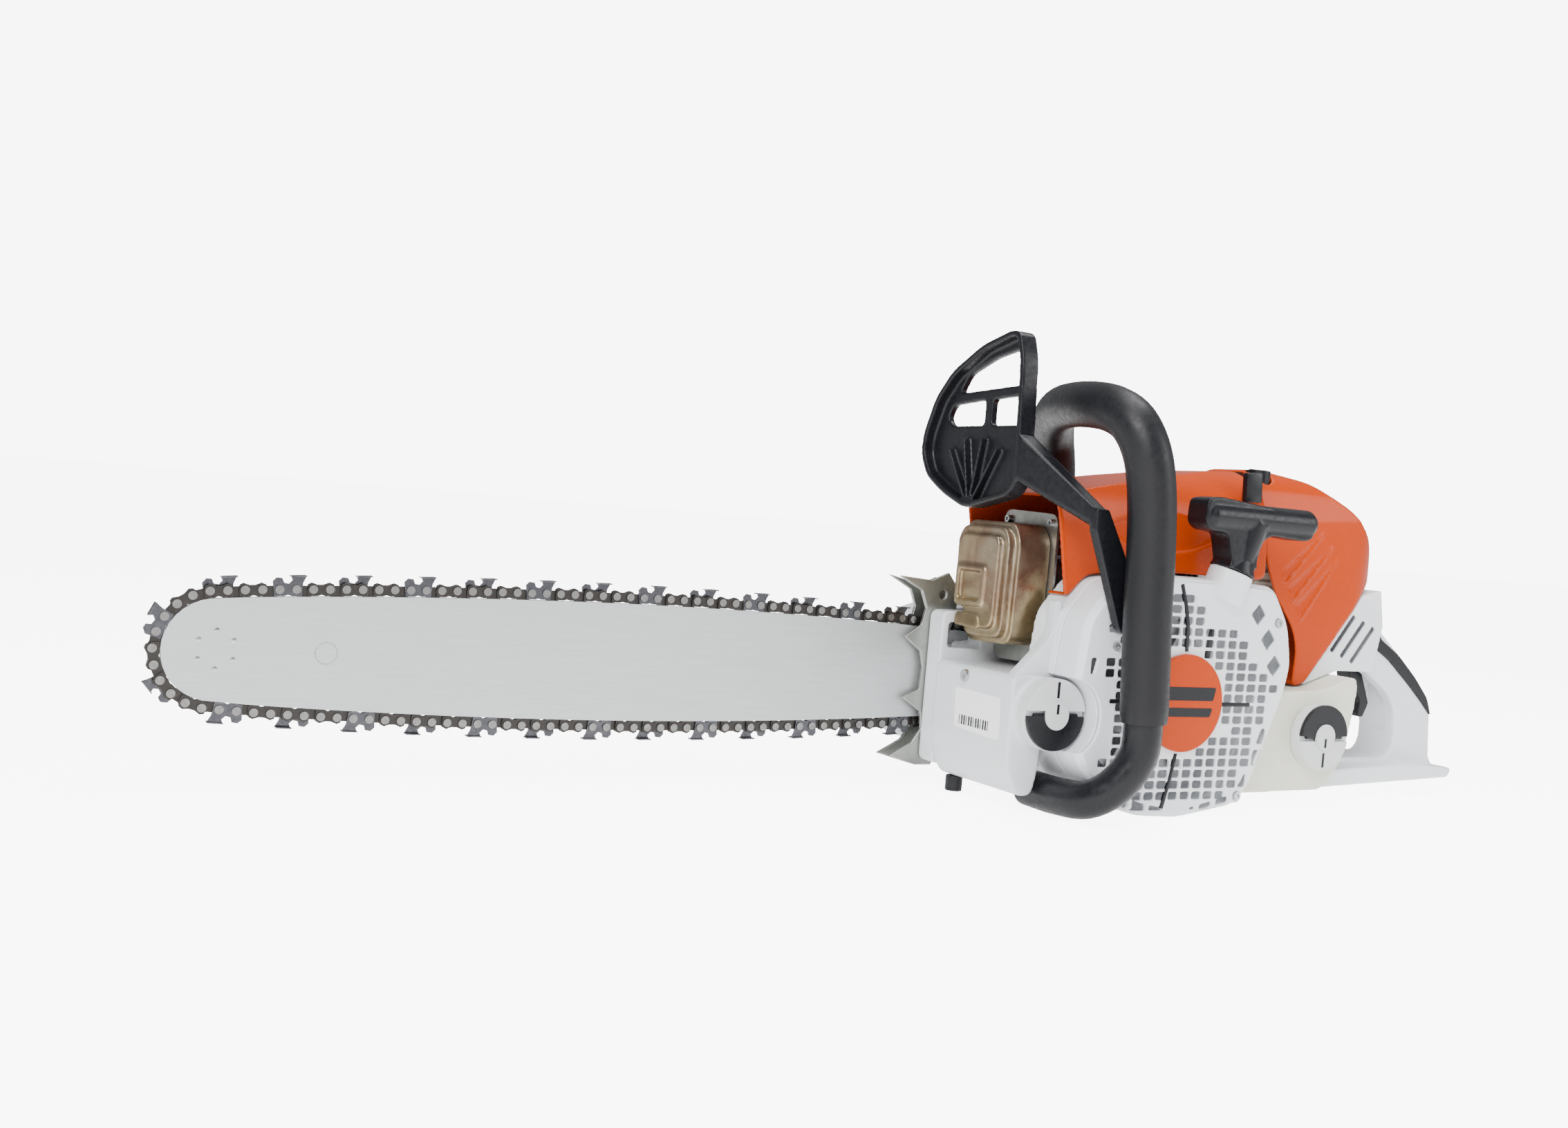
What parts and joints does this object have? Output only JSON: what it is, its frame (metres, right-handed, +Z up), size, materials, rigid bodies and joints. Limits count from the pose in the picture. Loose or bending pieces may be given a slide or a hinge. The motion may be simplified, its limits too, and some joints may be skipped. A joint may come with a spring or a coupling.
{
  "type": "petrol chainsaw",
  "caption": "Petrol chainsaw with a long guide bar, wrap-around front handle, hand guard, starter grip and rear handle.",
  "frame": {"origin": "on the ground, under the crankshaft's axis, in the plane of the cylinder, at the middle of the crankcase's flat underside", "axes": "-X along the guide bar towards its nose, -Y out of the starter side, +Y out of the drive side, +Z up"},
  "size_m": [0.9834, 0.2306, 0.3177],
  "materials": {
    "bar_steel": "matt ground, light silver grey",
    "chain_steel": "dark oiled brown-grey",
    "cutter_chrome": "blued side plate with chromed top",
    "rivet_steel": "domed, bright",
    "zinc_plate": "galvanised sheet",
    "fixing_steel": "zinc plated",
    "white_paint": "satin powder coat on cast magnesium",
    "white_plastic": "satin moulded",
    "orange_plastic": "glossy moulded",
    "cream_plastic": "translucent ivory, satin",
    "black_plastic": "fine moulded grain",
    "black_rubber": "satin rubber",
    "black_tube": "black coated steel tube",
    "muffler_bronze": "heat-tinted bronze",
    "bare_steel": "machined",
    "alloy": "cast",
    "friction_iron": "sintered",
    "plate_brass": "satin",
    "filter_felt": "pleated felt",
    "rope_fibre": "braided cord",
    "cap_light": "light grey moulded",
    "ceramic": "glazed"
  },
  "bodies": {
    "powerhead": {"guide_bar": "bar_steel", "drive_links": "chain_steel", "tie_straps": "chain_steel", "cutters": "cutter_chrome", "chain_rivets": "rivet_steel", "bar_fixings": "fixing_steel", "bumper_spikes": "zinc_plate", "clutch_cover": "white_plastic", "chain_catcher": "alloy", "case_screws": "fixing_steel", "brake_band": "bare_steel", "oil_pump": "black_plastic", "crankcase_right": "white_paint", "crankcase_left": "white_paint", "main_bearings": "bare_steel", "connecting_rod": "bare_steel", "piston": "alloy", "engine_cylinder": "alloy", "spark_plug": "ceramic", "plug_boot": "black_rubber", "ignition_coil": "black_plastic", "fan_shroud": "white_plastic", "starter_cover": "white_plastic", "starter_badge": "orange_plastic", "rewind_spring": "bare_steel", "starter_rope": "rope_fibre", "muffler": "muffler_bronze", "muffler_flange": "zinc_plate", "top_shroud": "orange_plastic", "filter_cover": "orange_plastic", "air_filter": "filter_felt", "filter_base": "white_plastic", "throttle_body": "alloy", "intake_boot": "black_rubber", "fuel_tank": "cream_plastic", "rear_handle": "white_plastic", "handle_cushion": "black_rubber", "handle_tube": "black_tube", "handle_sheath": "black_rubber", "rubber_mounts": "black_rubber"},
    "crank": {"crankshaft": "bare_steel", "flywheel": "alloy", "clutch_hub": "friction_iron", "clutch_shoes": "friction_iron", "e_clip": "bare_steel"},
    "drum": {"clutch_drum": "bare_steel", "rim_sprocket": "bare_steel", "needle_bearing": "bare_steel"},
    "nose": {"nose_sprocket": "bare_steel"},
    "guard": {"hand_guard": "black_plastic"},
    "trigger": {"throttle_trigger": "black_plastic"},
    "lockout": {"trigger_lock": "black_plastic"},
    "butterfly": {"throttle_plate": "plate_brass"},
    "rotor": {"rope_rotor": "black_plastic"},
    "pull_grip": {"starter_grip": "black_plastic"},
    "oil_filler": {"oil_cap": "cap_light"},
    "oil_flap": {"oil_cap_flap": "black_plastic"},
    "fuel_filler": {"fuel_cap": "cap_light"},
    "fuel_flap": {"fuel_cap_flap": "black_plastic"},
    "knob": {"cover_lock": "black_plastic"}
  },
  "joints": [
    {"name": "crank_spin", "type": "hinge", "parent": "powerhead", "child": "crank", "pos_m": [0, 0, 0.079], "axis": [0, 1, 0], "continuous": true},
    {"name": "chain_drive", "type": "hinge", "parent": "powerhead", "child": "drum", "pos_m": [0, 0.058, 0.079], "axis": [0, 1, 0], "continuous": true, "deforming": ["drive_links", "tie_straps", "cutters", "chain_rivets"]},
    {"name": "nose_spin", "type": "hinge", "parent": "powerhead", "child": "nose", "pos_m": [-0.597, 0.058, 0.079], "axis": [0, 1, 0], "continuous": true},
    {"name": "chain_brake", "type": "hinge", "parent": "powerhead", "child": "guard", "pos_m": [-0.058, -0.089, 0.135], "axis": [0, -1, 0], "range_deg": [0, 20]},
    {"name": "throttle", "type": "hinge", "parent": "powerhead", "child": "trigger", "pos_m": [0.258, 0.004, 0.101], "axis": [0, -1, 0], "range_deg": [0, 16], "stiffness_Nm_per_rad": 0.6, "springref_deg": -17.19},
    {"name": "throttle_lock", "type": "hinge", "parent": "powerhead", "child": "lockout", "pos_m": [0.252, 0.004, 0.123], "axis": [0, 1, 0], "range_deg": [0, 10], "stiffness_Nm_per_rad": 0.6, "springref_deg": -17.19},
    {"name": "throttle_valve", "type": "hinge", "parent": "powerhead", "child": "butterfly", "pos_m": [0.084, 0, 0.163], "axis": [0, 1, 0], "range_deg": [0, 75]},
    {"name": "starter_pull", "type": "slide", "parent": "powerhead", "child": "pull_grip", "axis": [0.2908, -0.1045, 0.9511], "range_m": [0, 0.7], "stiffness_N_per_m": 12, "springref_m": -0.5, "deforming": ["starter_rope"]},
    {"name": "rope_wheel", "type": "hinge", "parent": "powerhead", "child": "rotor", "pos_m": [0, -0.072, 0.079], "axis": [0, 1, 0], "range_deg": [-1500, 0]},
    {"name": "oil_cap_turn", "type": "hinge", "parent": "powerhead", "child": "oil_filler", "pos_m": [-0.095, -0.06, 0.067], "axis": [0, -1, 0], "range_deg": [0, 90]},
    {"name": "oil_flap_fold", "type": "hinge", "parent": "oil_filler", "child": "oil_flap", "pos_m": [-0.095, -0.0706, 0.067], "axis": [-1, 0, 0], "range_deg": [0, 90]},
    {"name": "fuel_cap_turn", "type": "hinge", "parent": "powerhead", "child": "fuel_filler", "pos_m": [0.154, -0.06, 0.054], "axis": [0, -1, 0], "range_deg": [0, 90]},
    {"name": "fuel_flap_fold", "type": "hinge", "parent": "fuel_filler", "child": "fuel_flap", "pos_m": [0.154, -0.0706, 0.054], "axis": [1, 0, 0], "range_deg": [0, 90]},
    {"name": "cover_lock_turn", "type": "hinge", "parent": "powerhead", "child": "knob", "pos_m": [0.112, -0.024, 0.239], "axis": [0, 0, 1], "range_deg": [0, 90]}
  ],
  "couplings": [
    {"joint": "nose_spin", "follows": "chain_drive", "ratio": 0.63636},
    {"joint": "throttle_valve", "follows": "throttle", "ratio": 4.6},
    {"joint": "rope_wheel", "follows": "starter_pull", "rad_per_m": -37}
  ]
}
